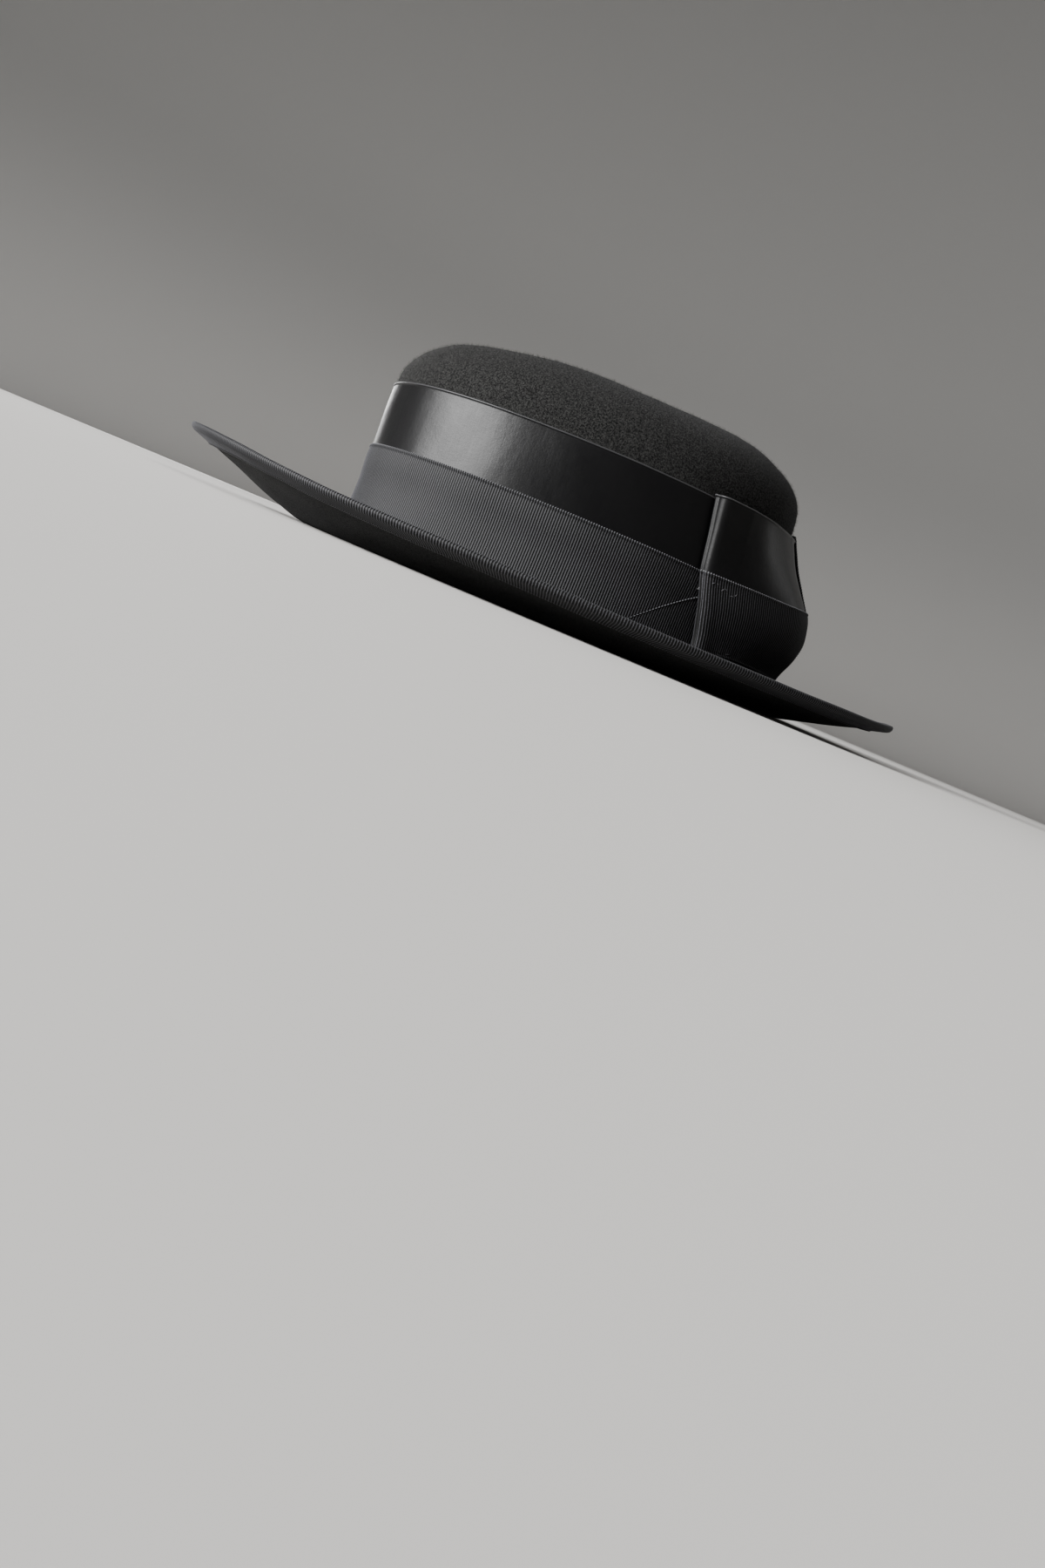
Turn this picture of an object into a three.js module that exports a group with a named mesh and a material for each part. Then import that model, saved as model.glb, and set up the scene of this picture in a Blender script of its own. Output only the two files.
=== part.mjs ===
// Felt boater hat: one blocked felt shell (flat-topped crown, brim turned up all round), a satin
// ribbon lapped under a grosgrain one round the crown, a grosgrain ribbon folded over the brim's
// edge, and a flat tailored bow of the same two ribbons at the back.
//
// Millimetres, +Z up. The wearer faces -Y, with the left ear at +X. The origin is on the surface
// that the hat rests on, under the middle of its box.
//
// Each piece is first made round a circle, or straight, and then laid round the head oval: its
// distance from the circle becomes its distance from the oval, so walls, ribbons and gaps keep
// their thickness all the way round.

import * as THREE from "three";
import { mergeVertices } from "three/addons/utils/BufferGeometryUtils.js";

// ---- Driving dimensions, in millimetres, with turns in degrees ----

// Head oval: the crown's outer wall, seen from above.
const OVAL_HALF_LENGTH = 102;
const OVAL_HALF_WIDTH = 82;
const OVAL_EXPONENT = 2.19; // 2 is an ellipse, and more is squarer
const CIRCLE_RADIUS = 100;
const TURN_STEPS = 56;

// Felt shell.
const FELT = 2;
const CROWN_HEIGHT = 106;
const CROWN_TILT = 2.5; // the crown's top is this much higher at the back and lower at the front
const CROWN_ARCH = 3; // and falls this much towards both ends
const CROWN_DOME = 1.5;
const SHOULDER_REACH = 34; // the shoulder starts to fall this far in from the wall
const SHOULDER_DROP = 29;
const WALL_TAPER = 0.02; // the wall leans in this much for each millimetre up
const WALL_FORWARD = 0.015; // and the crown leans forward this much
const FOOT_FLARE = 2.5; // the wall leans out this much more at the brim
const FOOT_FLARE_HEIGHT = 34;
const FOOT_FILLET = 4;
const SHOULDER_STEPS = 6;

// Brim, measured out from the crown's wall.
const REST_RING = 16; // the brim is flat underneath out to here, and the hat rests on it
const BRIM_BEND = 9; // length of the bend from the flat ring to the straight slope
const BRIM_MIDDLE = 46; // out to a line half way along the straight slope
const BRIM_WIDTH = 72; // at the back, where its outline is drawn

// The brim's edge at even turns from the front, the same on both sides: its width, and the height
// of the middle of its thickness.
const RIM = [
  { turn: 0, width: 76, height: 22.5 },
  { turn: 30, width: 76, height: 20 },
  { turn: 60, width: 76, height: 14.3 },
  { turn: 90, width: 75, height: 12.8 },
  { turn: 120, width: 74, height: 12 },
  { turn: 150, width: 73, height: 13.2 },
  { turn: 180, width: 72, height: 16.5 },
];

// Ribbons. Each wall is one ribbon thick, and lies GAP clear of the next piece.
const RIBBON = 1;
const GAP = 0.3;
const BAND_FOOT = 6.4;
const SATIN_FOOT = 36.4; // hidden under the grosgrain
const SEAM_HEIGHT = 45; // the grosgrain's upper edge, lying on the satin
const BAND_TOP = 74.3;
const LAP_STEP = 3; // the grosgrain steps out over the satin within this height
const BINDING_REACH = 8.5; // the folded ribbon reaches in this far from the brim's edge

// Bow, with turns measured from the middle of the back.
const BOW_FOOT = 9;
const BOW_TOP = 75;
const LOOP_WALL = 1.3;
const LOOP_START_TURN = 1.5;
const FOLD_TURN = 49; // the loop's fold, at the bow's top
const FOLD_LEAN = 0.14; // the fold moves back this much for each millimetre down
const KNOT_HALF_TURN = 5.2;
const KNOT_WALL = 1.3;
const KNOT_LIFT = 1.9; // the knot's outer face, outside the loops
const KNOT_ROUNDING = 0.8;
const KNOT_FOOT = 7.4;
const KNOT_TOP = 76.6;
const TAIL_TOP = 40;
const TAIL_SLANT_TURN = 36; // the tail's slanted end runs from here, at its full height
const TAIL_TIP_TURN = 61;
const TAIL_TIP_TOP = 12;

// How far the bow's outer layer stands off the crown's wall.
const BOW_STAND_OFF = [
  { height: 0, out: 12 },
  { height: 10, out: 15 },
  { height: 20, out: 19.5 },
  { height: 27, out: 23.5 },
  { height: 36, out: 24.5 },
  { height: 45, out: 22 },
  { height: 52, out: 17 },
  { height: 58, out: 11.5 },
  { height: 66, out: 7.2 },
  { height: 80, out: 5 },
];

// A loop seen from above: how full its outer layer is on the way from the knot to the fold.
const LOOP_OUTLINE = [
  { along: 0, fullness: 0.85 },
  { along: 0.12, fullness: 0.92 },
  { along: 0.24, fullness: 1 },
  { along: 0.4, fullness: 0.9 },
  { along: 0.6, fullness: 0.68 },
  { along: 0.75, fullness: 0.5 },
  { along: 0.88, fullness: 0.32 },
  { along: 1, fullness: 0.12 },
];

// ---- Materials ----

const felt = new THREE.MeshStandardMaterial({ color: "#131313", roughness: 0.95, metalness: 0 });
const satin = new THREE.MeshStandardMaterial({ color: "#0d0d0e", roughness: 0.35, metalness: 0 });
const grosgrain = new THREE.MeshStandardMaterial({ color: "#19191b", roughness: 0.75, metalness: 0 });

// ---- Numbers and tables ----

const { degToRad, radToDeg, lerp } = THREE.MathUtils;

// Straight-line reading of a table between its rows.
function readTable(table, input, output, value) {
  const next = table.findIndex((row) => row[input] >= value);
  if (next === 0) return table[0][output];
  if (next < 0) return table.at(-1)[output];
  const low = table[next - 1];
  const high = table[next];
  return lerp(low[output], high[output], (value - low[input]) / (high[input] - low[input]));
}

// Points of an arc with its ends, each as [out, height].
function arc(centre, radii, from, to, steps) {
  return Array.from({ length: steps + 1 }, (_, step) => {
    const angle = degToRad(lerp(from, to, step / steps));
    return [centre[0] + radii[0] * Math.cos(angle), centre[1] + radii[1] * Math.sin(angle)];
  });
}

// ---- Laying things round the head oval ----

// The oval's point at an angle from +X, moved out along its normal.
function roundOval(angle, out) {
  const power = OVAL_EXPONENT;
  const across = Math.cos(angle) / OVAL_HALF_WIDTH;
  const along = Math.sin(angle) / OVAL_HALF_LENGTH;
  const radius = (Math.abs(across) ** power + Math.abs(along) ** power) ** (-1 / power);
  const normal = new THREE.Vector2(
    (Math.sign(across) * Math.abs(across) ** (power - 1)) / OVAL_HALF_WIDTH,
    (Math.sign(along) * Math.abs(along) ** (power - 1)) / OVAL_HALF_LENGTH,
  ).normalize();
  const place = new THREE.Vector2(Math.cos(angle), Math.sin(angle)).multiplyScalar(radius);
  return place.addScaledVector(normal, out);
}

// The brim's edge as one smooth closed line, with its width in x and its height in y.
const rimLine = new THREE.CatmullRomCurve3(
  [...RIM, ...RIM.slice(1, -1).reverse()].map((row) => new THREE.Vector3(row.width, row.height, 0)),
  true,
  "catmullrom",
);

// The brim's edge at an angle from +X.
function rimAt(angle) {
  const fromFront = angle / (2 * Math.PI) + 0.25;
  return rimLine.getPoint(THREE.MathUtils.euclideanModulo(fromFront, 1));
}

// How far the brim has risen above its flat ring, at a distance out from the wall.
function brimRise(angle, out) {
  const rim = rimAt(angle);
  const slope = (rim.y - FELT / 2) / (rim.x - REST_RING - BRIM_BEND / 2);
  const past = Math.max(out - REST_RING, 0);
  if (past < BRIM_BEND) return (slope * past ** 2) / (2 * BRIM_BEND);
  return slope * (past - BRIM_BEND / 2);
}

// The crown's lean forward, and the tilt and arch of its top.
function leanCrown(corner) {
  const aboveBand = Math.max(corner.z - BAND_TOP, 0) / (CROWN_HEIGHT - BAND_TOP);
  const along = corner.y / OVAL_HALF_LENGTH;
  corner.z += aboveBand * (CROWN_TILT * along - CROWN_ARCH * along ** 2);
  corner.y -= WALL_FORWARD * Math.max(corner.z - FOOT_FLARE_HEIGHT, 0);
}

// Moves each corner of a shape, and joins the corners that fall together.
function reshape(geometry, place) {
  geometry.deleteAttribute("normal");
  geometry.deleteAttribute("uv");
  const corners = geometry.getAttribute("position");
  const corner = new THREE.Vector3();
  for (let index = 0; index < corners.count; index += 1) {
    corner.fromBufferAttribute(corners, index);
    place(corner);
    corners.setXYZ(index, corner.x, corner.y, corner.z);
  }
  const merged = mergeVertices(geometry);
  merged.computeVertexNormals();
  return merged;
}

// A closed outline of [out, height] points, turned round the head. Inside the crown's shoulder the
// oval shrinks towards the middle of its top.
function turnRoundHead(outline) {
  const profile = outline.map(([out, height]) => new THREE.Vector2(CIRCLE_RADIUS + out, height));
  const turned = new THREE.LatheGeometry(profile, TURN_STEPS).rotateX(Math.PI / 2);
  const shrinkFrom = -SHOULDER_REACH - FELT;
  return reshape(turned, (corner) => {
    const angle = Math.atan2(corner.y, corner.x);
    const radius = Math.hypot(corner.x, corner.y);
    const flatOut = radius - CIRCLE_RADIUS;
    const stretch = (rimAt(angle).x - REST_RING) / (BRIM_WIDTH - REST_RING);
    const out = flatOut > REST_RING ? REST_RING + (flatOut - REST_RING) * stretch : flatOut;
    const place = roundOval(angle, Math.max(out, shrinkFrom));
    if (out < shrinkFrom) place.multiplyScalar(radius / (CIRCLE_RADIUS + shrinkFrom));
    corner.set(place.x, place.y, corner.z + brimRise(angle, out));
    leanCrown(corner);
  });
}

// A piece at the back, given by its turn from the middle, its distance out and its height.
function placeAtBack(corner, side, turn, out, height) {
  const place = roundOval(degToRad(90 - side * turn), out + wallOut(height));
  corner.set(place.x, place.y, height);
  leanCrown(corner);
}

function meshOf(name, geometry, material) {
  const mesh = new THREE.Mesh(geometry, material);
  mesh.name = name;
  return mesh;
}

// ---- Felt shell ----

// The crown's outer wall at a height, out from the oval.
function wallOut(height) {
  const low = Math.max(1 - height / FOOT_FLARE_HEIGHT, 0);
  return FOOT_FLARE * low ** 2 - WALL_TAPER * Math.max(height - FOOT_FLARE_HEIGHT, 0);
}

function wallLine(heights, lift) {
  return heights.map((height) => [wallOut(height) + lift, height]);
}

// Crown and brim in one wall: down inside the crown, out underneath the brim, round its edge, back
// in over its top, and up outside the crown.
function feltOutline() {
  const filletFoot = FELT + FOOT_FILLET;
  const filletCentre = [wallOut(filletFoot) + FOOT_FILLET, filletFoot];
  const shoulderHeight = CROWN_HEIGHT - SHOULDER_DROP;
  const shoulderCentre = [wallOut(shoulderHeight) - SHOULDER_REACH, shoulderHeight];
  const midWall = [FOOT_FLARE_HEIGHT * 0.6, FOOT_FLARE_HEIGHT, (FOOT_FLARE_HEIGHT + shoulderHeight) / 2];
  const brimOuts = [REST_RING, REST_RING + BRIM_BEND / 2, REST_RING + BRIM_BEND, BRIM_MIDDLE];
  const edgeCentre = [BRIM_WIDTH - FELT / 2, FELT / 2];
  const middle = [-CIRCLE_RADIUS, CROWN_HEIGHT + CROWN_DOME];
  const halfway = [-(CIRCLE_RADIUS + SHOULDER_REACH) / 2, CROWN_HEIGHT + CROWN_DOME / 2];
  return [
    [middle[0], middle[1] - FELT],
    [halfway[0], halfway[1] - FELT],
    ...arc(shoulderCentre, [SHOULDER_REACH - FELT, SHOULDER_DROP - FELT], 90, 0, SHOULDER_STEPS),
    ...wallLine(midWall, -FELT).reverse(),
    ...arc(filletCentre, [filletFoot, filletFoot], 180, 270, 3),
    ...brimOuts.map((out) => [out, 0]),
    ...arc(edgeCentre, [FELT / 2, FELT / 2], -90, 90, 2),
    ...brimOuts.map((out) => [out, FELT]).reverse(),
    ...arc(filletCentre, [FOOT_FILLET, FOOT_FILLET], 270, 180, 2),
    ...wallLine(midWall, 0),
    ...arc(shoulderCentre, [SHOULDER_REACH, SHOULDER_DROP], 0, 90, SHOULDER_STEPS),
    halfway,
    middle,
  ];
}

// ---- Ribbons round the crown and the brim's edge ----

// A ribbon's closed outline from its inner and outer lines, which both run upwards.
function ribbonOutline(inner, outer) {
  return [...outer, ...[...inner].reverse(), outer[0]];
}

function satinOutline() {
  const heights = [SATIN_FOOT, BAND_TOP];
  return ribbonOutline(wallLine(heights, GAP), wallLine(heights, GAP + RIBBON));
}

// The grosgrain lies on the felt, and steps out where it laps over the satin.
function grosgrainOutline() {
  const low = [BAND_FOOT, FOOT_FLARE_HEIGHT * 0.6, SATIN_FOOT - LAP_STEP];
  const high = [SATIN_FOOT - GAP, SEAM_HEIGHT];
  const line = (lift) => [...wallLine(low, lift), ...wallLine(high, lift + GAP + RIBBON)];
  return ribbonOutline(line(GAP), line(GAP + RIBBON));
}

// A ribbon folded over the brim's edge, from underneath to the top.
function bindingOutline() {
  const centre = [BRIM_WIDTH - FELT / 2, FELT / 2];
  const start = BRIM_WIDTH - BINDING_REACH;
  const face = (radius) => [
    [start, centre[1] - radius],
    ...arc(centre, [radius, radius], -90, 90, 3),
    [start, centre[1] + radius],
  ];
  return ribbonOutline(face(FELT / 2 + GAP), face(FELT / 2 + GAP + RIBBON));
}

// ---- Bow ----

// Each of these lies just outside the piece under it.
const SATIN_LOOP_INNER = GAP + RIBBON + GAP;
const TAIL_INNER = SATIN_LOOP_INNER + RIBBON + GAP;
const GROSGRAIN_LOOP_INNER = TAIL_INNER + RIBBON + GAP;
const LOOP_FLAT = 2 * LOOP_WALL + GAP; // the least depth of a loop, with its layers side by side
const LOOP_LAYERS = { backOutside: 0, backInside: 1, frontInside: 2, frontOutside: 3 };
const LAYER_SPACING = 0.2; // the layers are drawn this far apart, closer than they lie
const LOOP_STEPS = 8; // along the loop
const LOOP_RISE_STEPS = 5; // up each ribbon
const TAIL_STEPS = 14;
const KNOT_STEPS = 6;

function standOff(height) {
  return readTable(BOW_STAND_OFF, "height", "out", height);
}

// One face of a loop from above, drawn round the circle from one turn to another.
function loopFace(from, to, layer) {
  const radius = CIRCLE_RADIUS + layer * LAYER_SPACING;
  return Array.from({ length: LOOP_STEPS + 1 }, (_, step) => {
    const turn = degToRad(lerp(from, to, step / LOOP_STEPS));
    return new THREE.Vector2(radius * Math.sin(turn), radius * Math.cos(turn));
  });
}

// One ribbon's part of a loop: a closed band, hollow inside, from beside the knot to the fold,
// pulled up from its foot to its top.
function loopPiece(side, innerOut, foot, top) {
  const { backOutside, backInside, frontInside, frontOutside } = LOOP_LAYERS;
  const start = LOOP_START_TURN;
  const wall = LOOP_WALL / degToRad(OVAL_HALF_LENGTH);
  const near = start + wall;
  const far = FOLD_TURN - wall;
  const outside = [...loopFace(start, FOLD_TURN, backOutside), ...loopFace(FOLD_TURN, start, frontOutside)];
  const inside = [...loopFace(near, far, backInside), ...loopFace(far, near, frontInside)];
  const band = new THREE.Shape(outside);
  band.holes.push(new THREE.Path(inside));
  const pull = { depth: top - foot, steps: LOOP_RISE_STEPS, bevelEnabled: false };
  const body = new THREE.ExtrudeGeometry(band, pull);
  return reshape(mirrored(body, side < 0), (corner) => {
    const height = foot + corner.z;
    const layer = Math.round((Math.hypot(corner.x, corner.y) - CIRCLE_RADIUS) / LAYER_SPACING);
    const along = (radToDeg(Math.atan2(corner.x, corner.y)) - start) / (FOLD_TURN - start);
    const fullness = readTable(LOOP_OUTLINE, "along", "fullness", along);
    const depth = Math.max(fullness * (standOff(height) - innerOut), LOOP_FLAT);
    const layerOut = [0, LOOP_WALL, depth - LOOP_WALL, depth][layer];
    const fold = FOLD_TURN - FOLD_LEAN * (BOW_TOP - height);
    placeAtBack(corner, side, lerp(start, fold, along), innerOut + layerOut, height);
  });
}

// Turns a shape's faces over when its laying round the oval would leave them pointing in.
function mirrored(geometry, flip) {
  if (!flip) return geometry;
  const corners = geometry.getAttribute("position");
  for (let first = 0; first < corners.count; first += 3) {
    const a = new THREE.Vector3().fromBufferAttribute(corners, first);
    const b = new THREE.Vector3().fromBufferAttribute(corners, first + 1);
    corners.setXYZ(first, b.x, b.y, b.z);
    corners.setXYZ(first + 1, a.x, a.y, a.z);
  }
  return geometry;
}

// A straight strip pulled along the turn from its section of [out, height] points.
function stripAtBack(section, fromTurn, toTurn, steps, flip) {
  const shape = new THREE.Shape(section.map(([out, height]) => new THREE.Vector2(out, height)));
  const strip = new THREE.ExtrudeGeometry(shape, { depth: toTurn - fromTurn, steps, bevelEnabled: false });
  strip.translate(0, 0, fromTurn);
  return mirrored(strip, flip);
}

// A tail lies on the band under its loop, with a slanted end.
function tailPiece(side) {
  const levels = [0, 0.25, 0.5, 0.75, 1];
  const outer = levels.map((level) => [TAIL_INNER + RIBBON, level]);
  const inner = levels.map((level) => [TAIL_INNER, level]);
  const section = [...outer, ...inner.reverse()];
  const slant = TAIL_TIP_TURN - TAIL_SLANT_TURN;
  const strip = stripAtBack(section, LOOP_START_TURN, TAIL_TIP_TURN, TAIL_STEPS, side < 0);
  return reshape(strip, (corner) => {
    const turn = corner.z;
    const top = lerp(TAIL_TOP, TAIL_TIP_TOP, Math.max(turn - TAIL_SLANT_TURN, 0) / slant);
    placeAtBack(corner, side, turn, corner.x, lerp(BOW_FOOT, top, corner.y));
  });
}

// The knot wraps over the loops' ends, and is open towards the crown.
function knotPiece() {
  const between = BOW_STAND_OFF.map((row) => row.height).filter((height) => height > KNOT_FOOT);
  const heights = [KNOT_FOOT, ...between.filter((height) => height < KNOT_TOP), KNOT_TOP];
  const innerHeights = [KNOT_FOOT + KNOT_WALL, ...heights.slice(1, -1), KNOT_TOP - KNOT_WALL];
  const outer = heights.map((height) => [standOff(height) + KNOT_LIFT, height]);
  const inner = innerHeights.map((height) => [standOff(height) + KNOT_LIFT - KNOT_WALL, height]);
  const section = [
    [TAIL_INNER, KNOT_FOOT],
    ...outer,
    [TAIL_INNER, KNOT_TOP],
    [TAIL_INNER, KNOT_TOP - KNOT_WALL],
    ...inner.reverse(),
    [TAIL_INNER, KNOT_FOOT + KNOT_WALL],
  ];
  const strip = stripAtBack(section, -KNOT_HALF_TURN, KNOT_HALF_TURN, KNOT_STEPS, false);
  return reshape(strip, (corner) => {
    const turn = corner.z;
    const share = (corner.x - TAIL_INNER) / (standOff(corner.y) + KNOT_LIFT - TAIL_INNER);
    const rounding = KNOT_ROUNDING * share * (turn / KNOT_HALF_TURN) ** 2;
    placeAtBack(corner, 1, turn, corner.x - rounding, corner.y);
  });
}

// ---- The hat ----

const hat = new THREE.Group();
hat.add(
  meshOf("felt_body", turnRoundHead(feltOutline()), felt),
  meshOf("satin_band", turnRoundHead(satinOutline()), satin),
  meshOf("grosgrain_band", turnRoundHead(grosgrainOutline()), grosgrain),
  meshOf("brim_binding", turnRoundHead(bindingOutline()), grosgrain),
  meshOf("bow_knot", knotPiece(), grosgrain),
);

for (const [name, side] of [["left", 1], ["right", -1]]) {
  const upper = loopPiece(side, SATIN_LOOP_INNER, SEAM_HEIGHT + GAP / 2, BOW_TOP);
  const lower = loopPiece(side, GROSGRAIN_LOOP_INNER, BOW_FOOT, SEAM_HEIGHT - GAP / 2);
  hat.add(
    meshOf(`bow_loop_${name}_satin`, upper, satin),
    meshOf(`bow_loop_${name}_grosgrain`, lower, grosgrain),
    meshOf(`bow_tail_${name}`, tailPiece(side), grosgrain),
  );
}

// The brim is wider in front, so its middle is moved over the origin.
hat.position.y = (RIM[0].width - RIM.at(-1).width) / 2;

export default hat;
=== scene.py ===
# %% [markdown]
# # A felt boater hat, dressed for the shelf
#
# A boater in felt is made the way a milliner makes any blocked hat. One cone of fur felt is steamed
# over a wooden block until it has its flat crown, its foot and its brim. Two ribbons go round the
# crown, a third is folded over the brim's edge, and a flat bow covers the join at the back.
#
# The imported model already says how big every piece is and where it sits. This lesson makes the
# surfaces that are worth looking at: felt with its nap, satin with its shine, and grosgrain with
# every rib in the mesh. Each ribbon is cut flat first, as a strip with its ribs and its picot
# edges, and is then laid on the hat, because that is how the real one gets its shape.

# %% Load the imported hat
import math
from collections import namedtuple
from functools import partial

import bpy
import numpy as np
from mathutils import Matrix, Vector, noise


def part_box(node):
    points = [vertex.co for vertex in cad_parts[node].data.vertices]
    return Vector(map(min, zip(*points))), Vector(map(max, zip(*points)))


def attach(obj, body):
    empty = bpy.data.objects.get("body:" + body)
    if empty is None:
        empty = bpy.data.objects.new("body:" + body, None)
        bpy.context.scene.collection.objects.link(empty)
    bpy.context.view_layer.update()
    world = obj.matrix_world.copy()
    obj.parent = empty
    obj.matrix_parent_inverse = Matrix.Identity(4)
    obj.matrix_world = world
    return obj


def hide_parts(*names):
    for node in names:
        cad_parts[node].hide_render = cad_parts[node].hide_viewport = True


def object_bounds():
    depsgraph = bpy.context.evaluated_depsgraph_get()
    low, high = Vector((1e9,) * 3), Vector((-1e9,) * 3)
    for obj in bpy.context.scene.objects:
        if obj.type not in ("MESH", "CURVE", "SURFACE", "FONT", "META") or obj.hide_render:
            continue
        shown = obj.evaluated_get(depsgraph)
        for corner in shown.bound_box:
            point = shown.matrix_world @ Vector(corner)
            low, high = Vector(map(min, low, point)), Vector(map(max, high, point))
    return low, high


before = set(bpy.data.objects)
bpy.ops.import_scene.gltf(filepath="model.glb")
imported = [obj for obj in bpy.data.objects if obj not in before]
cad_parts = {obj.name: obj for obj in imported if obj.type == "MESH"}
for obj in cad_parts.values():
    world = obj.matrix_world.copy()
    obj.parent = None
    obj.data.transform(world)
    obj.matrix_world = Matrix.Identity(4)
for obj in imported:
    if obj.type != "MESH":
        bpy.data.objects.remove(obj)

MM = 0.001
cad_low, cad_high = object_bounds()
hat_size = cad_high - cad_low
print("packed hat, mm:", [round(side / MM) for side in hat_size])

# %% [markdown]
# ## The head oval
#
# Everything on a hat follows one line: the oval of the head. It is a little squarer than an
# ellipse. If every piece is described by how far out from that line it lies and how high, the
# walls keep their thickness all the way round, and a ribbon stays a ribbon. The oval's length
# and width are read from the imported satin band, which lies on the crown's wall.

# %% The oval, and a milliner's measures on it
RIBBON_FACE = 1.25 * MM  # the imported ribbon's outer face, out from the crown's wall
SQUARENESS = 2.19  # 2 is an ellipse, and more is squarer
satin_low, satin_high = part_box("satin_band")
grosgrain_low, grosgrain_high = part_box("grosgrain_band")
_, felt_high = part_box("felt_body")
HALF_WIDTH = satin_high.x - RIBBON_FACE
HALF_LENGTH = (satin_high.y - satin_low.y) / 2 - RIBBON_FACE
HEAD_Y = (satin_high.y + satin_low.y) / 2
BACK = math.pi / 2  # the middle of the back, as an angle from +X


def oval(angle, out):
    """The oval's x and y at an angle from +X, moved out along its normal."""
    across = np.cos(angle) / HALF_WIDTH
    along = np.sin(angle) / HALF_LENGTH
    radius = (np.abs(across) ** SQUARENESS + np.abs(along) ** SQUARENESS) ** (-1 / SQUARENESS)
    normal_x = np.sign(across) * np.abs(across) ** (SQUARENESS - 1) / HALF_WIDTH
    normal_y = np.sign(along) * np.abs(along) ** (SQUARENESS - 1) / HALF_LENGTH
    length = np.hypot(normal_x, normal_y)
    x = radius * np.cos(angle) + out * normal_x / length
    y = radius * np.sin(angle) + out * normal_y / length
    return x, y + HEAD_Y


MEASURED_ANGLES = np.linspace(BACK, BACK + 2 * math.pi, 2881)


def girths(out):
    """How long the oval is from the back's middle to each measured angle, at a distance out."""
    x, y = oval(MEASURED_ANGLES, out)
    return np.concatenate([[0], np.cumsum(np.hypot(np.diff(x), np.diff(y)))])


def angle_at(length, out):
    """The angle that a tape reaches when it is laid round the oval from the middle of the back."""
    return np.interp(length, girths(out), MEASURED_ANGLES)


print("head size, cm:", round(girths(-2 * MM)[-1] * 100, 1))

# %% [markdown]
# ## The felt's own shape
#
# The crown's wall flares a little at the foot and leans in above it. The whole crown leans
# forward, and its top falls towards the front and the back. The brim lies flat near the crown
# and then rises to its edge, most of all in front. A short table gives the edge's width and
# height at even turns, and a smooth closed curve through it gives all the places between.

# %% Wall, lean and brim
FELT = 2 * MM
CROWN_DOME = 1.5 * MM
CROWN_HEIGHT = felt_high.z - CROWN_DOME
WALL_TAPER = 0.02
WALL_FORWARD = 0.015
FOOT_FLARE = 2.5 * MM
FOOT_FLARE_HEIGHT = 34 * MM
BAND_TOP = satin_high.z

REST_RING = 16 * MM  # the brim is flat underneath out to here
BRIM_BEND = 9 * MM
BRIM_WIDTH = 72 * MM
Rim = namedtuple("Rim", "turn width height")
RIM = [
    Rim(0, 76, 22.5), Rim(30, 76, 20), Rim(60, 76, 14.3), Rim(90, 75, 12.8),
    Rim(120, 74, 12), Rim(150, 73, 13.2), Rim(180, 72, 16.5),
]

# How the crown's top falls from its middle to its ends, front first, and how far its back is
# drawn in where the ribbons hold it and rounds out again above them.
Fall = namedtuple("Fall", "along drop")
TOP_LINE = [
    Fall(-1, -5.6), Fall(-0.8, -4.7), Fall(-0.6, -3.2), Fall(-0.35, -1.3), Fall(-0.15, -0.6),
    Fall(0, -0.4), Fall(0.3, -0.3), Fall(0.6, -0.2), Fall(0.8, 0.2), Fall(0.9, 0.4), Fall(1, 0.2),
]
Pinch = namedtuple("Pinch", "height back")
BACK_PINCH = [
    Pinch(46, 0), Pinch(60, -0.7), Pinch(70, -2), Pinch(79, -2.7), Pinch(86, -1.8),
    Pinch(92, 0.2), Pinch(98, 1.7), Pinch(103, 1.5), Pinch(110, 0.5),
]


FINE_STEPS = 201  # points in the fine line through a table
AVERAGED = 27  # how many of them are averaged at a time, an odd number


def smooth_table(rows, units=1):
    """Reads a short table of two columns, in their units, as a smooth line: a fine line through
    it is rounded by averaging."""
    places, values = (np.array(rows) * units).T
    fine = np.linspace(places[0], places[-1], FINE_STEPS)
    line = np.interp(fine, places, values)
    window = np.hanning(AVERAGED)
    padded = np.pad(line, AVERAGED // 2, mode="reflect", reflect_type="odd")
    return lambda at: np.interp(at, fine, np.convolve(padded, window / window.sum(), "valid"))


top_line = smooth_table(TOP_LINE, (1, MM))
back_pinch = smooth_table(BACK_PINCH, (MM, MM))


def wall_out(height):
    """The crown's outer wall at a height, out from the oval."""
    low = np.maximum(1 - height / FOOT_FLARE_HEIGHT, 0)
    return FOOT_FLARE * low**2 - WALL_TAPER * np.maximum(height - FOOT_FLARE_HEIGHT, 0)


def lean(x, y, z):
    """Leans the crown forward, and shapes its top and its back. Gives points of x, y and z."""
    above_band = np.maximum(z - BAND_TOP, 0) / (CROWN_HEIGHT - BAND_TOP)
    along = (y - HEAD_Y) / HALF_LENGTH
    y = y - WALL_FORWARD * np.maximum(z - FOOT_FLARE_HEIGHT, 0)
    y = y + back_pinch(z) * np.maximum(along, 0) ** 3
    z = z + above_band * top_line(along)
    return np.stack([x, y, z], axis=-1)


def closed_curve(values, share):
    """A smooth closed line through evenly spaced values, read at shares of a full turn."""
    place = np.asarray(share) % 1 * len(values)
    first = np.floor(place).astype(int)
    step = place - first
    a, b, c, d = (np.take(values, first + offset, mode="wrap") for offset in (-1, 0, 1, 2))
    bend = (c - a) * step + (2 * a - 5 * b + 4 * c - d) * step**2
    return b + (bend + (3 * b - a - 3 * c + d) * step**3) / 2


def rim_at(angle):
    """The brim's width and the height of its edge's middle, at an angle from +X."""
    both_sides = RIM + RIM[-2:0:-1]
    from_front = angle / (2 * math.pi) + 0.25
    width = closed_curve([row.width * MM for row in both_sides], from_front)
    return width, closed_curve([row.height * MM for row in both_sides], from_front)


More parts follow.
